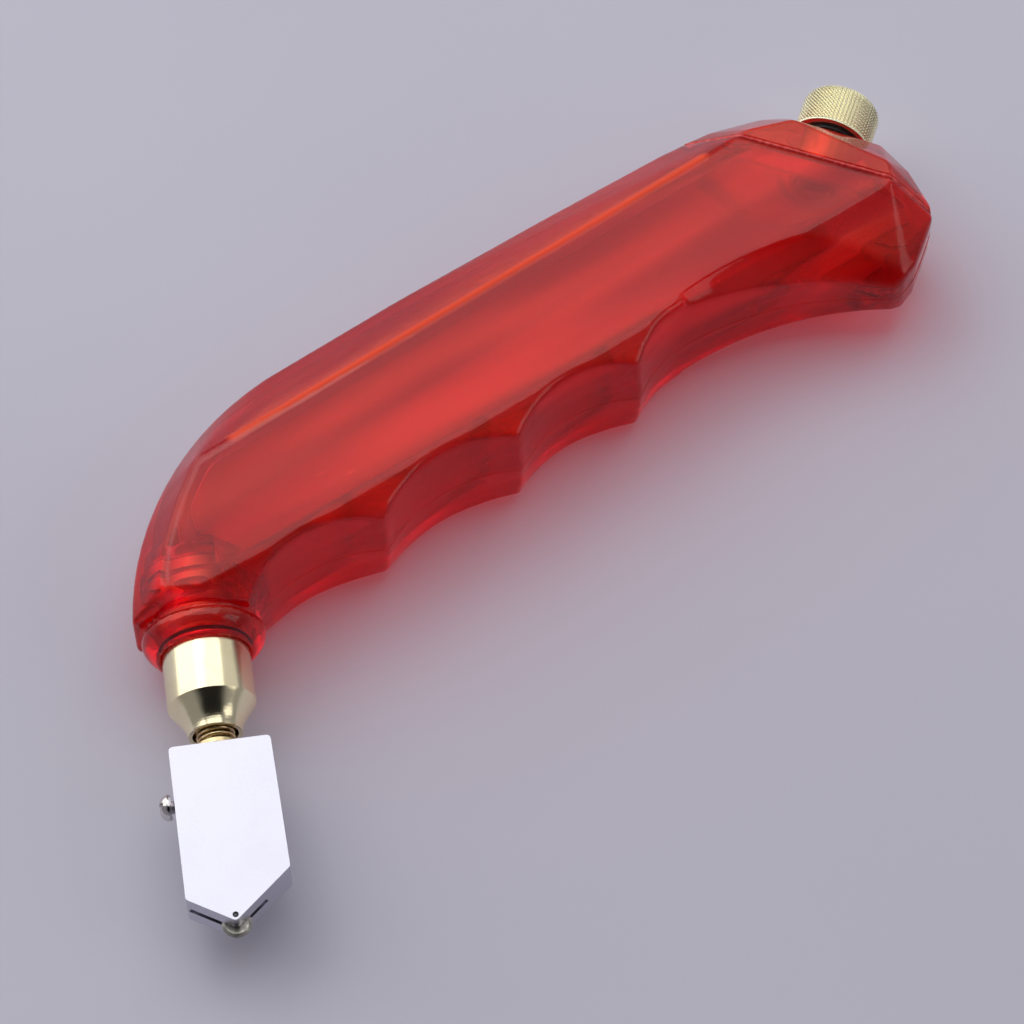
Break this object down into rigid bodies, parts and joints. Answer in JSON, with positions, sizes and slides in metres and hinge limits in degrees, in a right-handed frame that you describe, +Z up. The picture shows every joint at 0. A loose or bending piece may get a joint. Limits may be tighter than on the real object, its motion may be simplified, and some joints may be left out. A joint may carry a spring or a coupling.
{
  "type": "glass cutter",
  "caption": "Oil-fed glass cutter with a hollow pistol grip, a sprung swivelling head, a scoring wheel and a knurled filler screw.",
  "frame": {"origin": "on the surface that the tool lies on, below the centre of its bounding box", "axes": "+X along the grip's straight back, from the cutting head to the filler screw; +Y from the finger hollows to the back; +Z up through the grip's thickness"},
  "size_m": [0.1498, 0.0699, 0.02],
  "materials": {
    "red_resin": "clear red moulding, glossy, faintly scratched",
    "cap_resin": "clear orange-red moulding, glossy",
    "cement": "thin pale line of cement",
    "turned_brass": "turned, dull",
    "polished_brass": "polished, pale",
    "knurled_brass": "pale, fine diamond knurl",
    "black_rubber": "smooth",
    "spring_steel": "bright",
    "spring_wire": "drawn wire",
    "wick_felt": "twisted wick, oil-soaked",
    "satin_chrome": "satin plated, polished bevels",
    "bright_chrome": "mirror plated",
    "axle_steel": "ground pin",
    "carbide": "ground, oily"
  },
  "bodies": {
    "handle": {"handle_body": "red_resin", "end_cap": "cap_resin", "seam_cement": "cement", "filler_insert": "turned_brass", "nose_insert": "turned_brass", "nose_ferrule": "polished_brass", "ferrule_seal": "black_rubber", "spindle_seal": "black_rubber"},
    "stem": {"spindle": "turned_brass", "valve_washer": "black_rubber", "retaining_clip": "spring_steel", "oil_wick": "wick_felt", "return_spring": "spring_wire"},
    "head": {"cutter_head": "satin_chrome", "wheel_axle": "axle_steel"},
    "wheel": {"cutting_wheel": "carbide"},
    "lock": {"lock_screw": "bright_chrome"},
    "washer": {"filler_washer": "black_rubber"},
    "filler": {"filler_screw": "knurled_brass"}
  },
  "joints": [
    {"name": "head_press", "type": "slide", "parent": "handle", "child": "stem", "axis": [0.4226, 0.9063, 0], "range_m": [0, 0.001], "stiffness_N_per_m": 2500, "springref_m": -0.003, "deforming": ["return_spring"]},
    {"name": "head_swivel", "type": "hinge", "parent": "stem", "child": "head", "pos_m": [-0.06083, -0.01256, 0.01], "axis": [-0.4226, -0.9063, 0], "continuous": true},
    {"name": "wheel_spin", "type": "hinge", "parent": "head", "child": "wheel", "pos_m": [-0.07056, -0.03295, 0.01], "axis": [0, 0, 1], "continuous": true},
    {"name": "lock_screw_turn", "type": "hinge", "parent": "head", "child": "lock", "pos_m": [-0.06911, -0.01399, 0.01], "axis": [-0.9063, 0.4226, 0], "range_deg": [0, 720]},
    {"name": "filler_turn", "type": "hinge", "parent": "handle", "child": "washer", "pos_m": [0.06567, 0.02486, 0.01], "axis": [0.788, 0.6157, 0], "range_deg": [0, 2520]},
    {"name": "filler_lift", "type": "slide", "parent": "washer", "child": "filler", "axis": [0.788, 0.6157, 0], "range_m": [0, 0.0056]}
  ],
  "couplings": [
    {"joint": "filler_lift", "follows": "filler_turn", "m_per_rad": 0.00012732}
  ]
}
